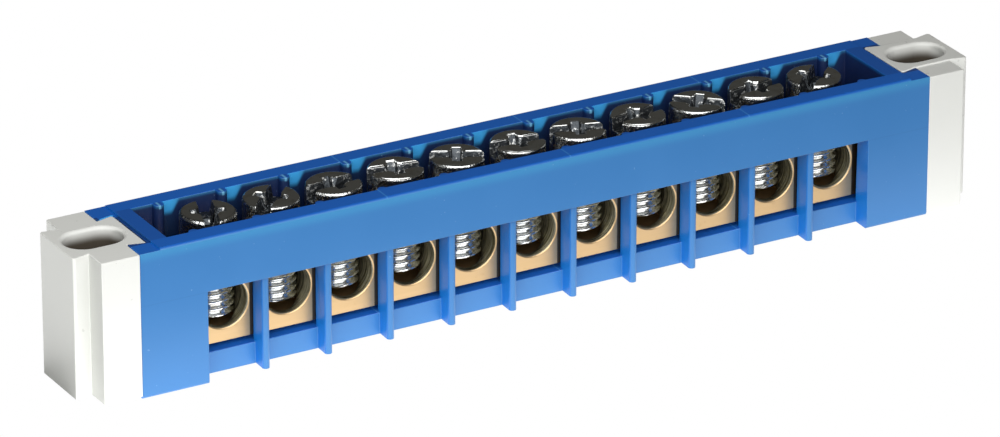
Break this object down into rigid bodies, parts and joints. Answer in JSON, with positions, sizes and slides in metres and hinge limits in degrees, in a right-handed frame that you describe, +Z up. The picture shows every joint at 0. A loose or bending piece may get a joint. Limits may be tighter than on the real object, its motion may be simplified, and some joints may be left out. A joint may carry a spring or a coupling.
{
  "type": "earth terminal bar",
  "caption": "Brass terminal bar with cross bores and clamping screws, held in a blue moulded carrier between two grey dovetailed feet with fixing slots.",
  "frame": {"origin": "middle of the base, on the plane that the carrier stands on", "axes": "+X along the bar, wire entries face -Y, +Z up towards the screw heads"},
  "size_m": [0.103, 0.0122, 0.016],
  "materials": {
    "blue_moulding": "smooth moulded, slight gloss",
    "grey_moulding": "smooth moulded",
    "brass": "drawn bar, machined bores",
    "zinc_plate": "bright zinc plate"
  },
  "bodies": {
    "base": {"carrier": "blue_moulding", "terminal_bar": "brass", "foot_left": "grey_moulding", "foot_right": "grey_moulding"},
    "screw_01_body": {"screw_01": "zinc_plate"},
    "screw_02_body": {"screw_02": "zinc_plate"},
    "screw_03_body": {"screw_03": "zinc_plate"},
    "screw_04_body": {"screw_04": "zinc_plate"},
    "screw_05_body": {"screw_05": "zinc_plate"},
    "screw_06_body": {"screw_06": "zinc_plate"},
    "screw_07_body": {"screw_07": "zinc_plate"},
    "screw_08_body": {"screw_08": "zinc_plate"},
    "screw_09_body": {"screw_09": "zinc_plate"},
    "screw_10_body": {"screw_10": "zinc_plate"},
    "screw_11_body": {"screw_11": "zinc_plate"}
  },
  "joints": [
    {"name": "screw_01_travel", "type": "slide", "parent": "base", "child": "screw_01_body", "axis": [0, 0, 1], "range_m": [-0.0009, 0.004]},
    {"name": "screw_02_travel", "type": "slide", "parent": "base", "child": "screw_02_body", "axis": [0, 0, 1], "range_m": [-0.0009, 0.004]},
    {"name": "screw_03_travel", "type": "slide", "parent": "base", "child": "screw_03_body", "axis": [0, 0, 1], "range_m": [-0.0009, 0.004]},
    {"name": "screw_04_travel", "type": "slide", "parent": "base", "child": "screw_04_body", "axis": [0, 0, 1], "range_m": [-0.0009, 0.004]},
    {"name": "screw_05_travel", "type": "slide", "parent": "base", "child": "screw_05_body", "axis": [0, 0, 1], "range_m": [-0.0009, 0.004]},
    {"name": "screw_06_travel", "type": "slide", "parent": "base", "child": "screw_06_body", "axis": [0, 0, 1], "range_m": [-0.0009, 0.004]},
    {"name": "screw_07_travel", "type": "slide", "parent": "base", "child": "screw_07_body", "axis": [0, 0, 1], "range_m": [-0.0009, 0.004]},
    {"name": "screw_08_travel", "type": "slide", "parent": "base", "child": "screw_08_body", "axis": [0, 0, 1], "range_m": [-0.0009, 0.004]},
    {"name": "screw_09_travel", "type": "slide", "parent": "base", "child": "screw_09_body", "axis": [0, 0, 1], "range_m": [-0.0009, 0.004]},
    {"name": "screw_10_travel", "type": "slide", "parent": "base", "child": "screw_10_body", "axis": [0, 0, 1], "range_m": [-0.0009, 0.004]},
    {"name": "screw_11_travel", "type": "slide", "parent": "base", "child": "screw_11_body", "axis": [0, 0, 1], "range_m": [-0.0009, 0.004]}
  ]
}
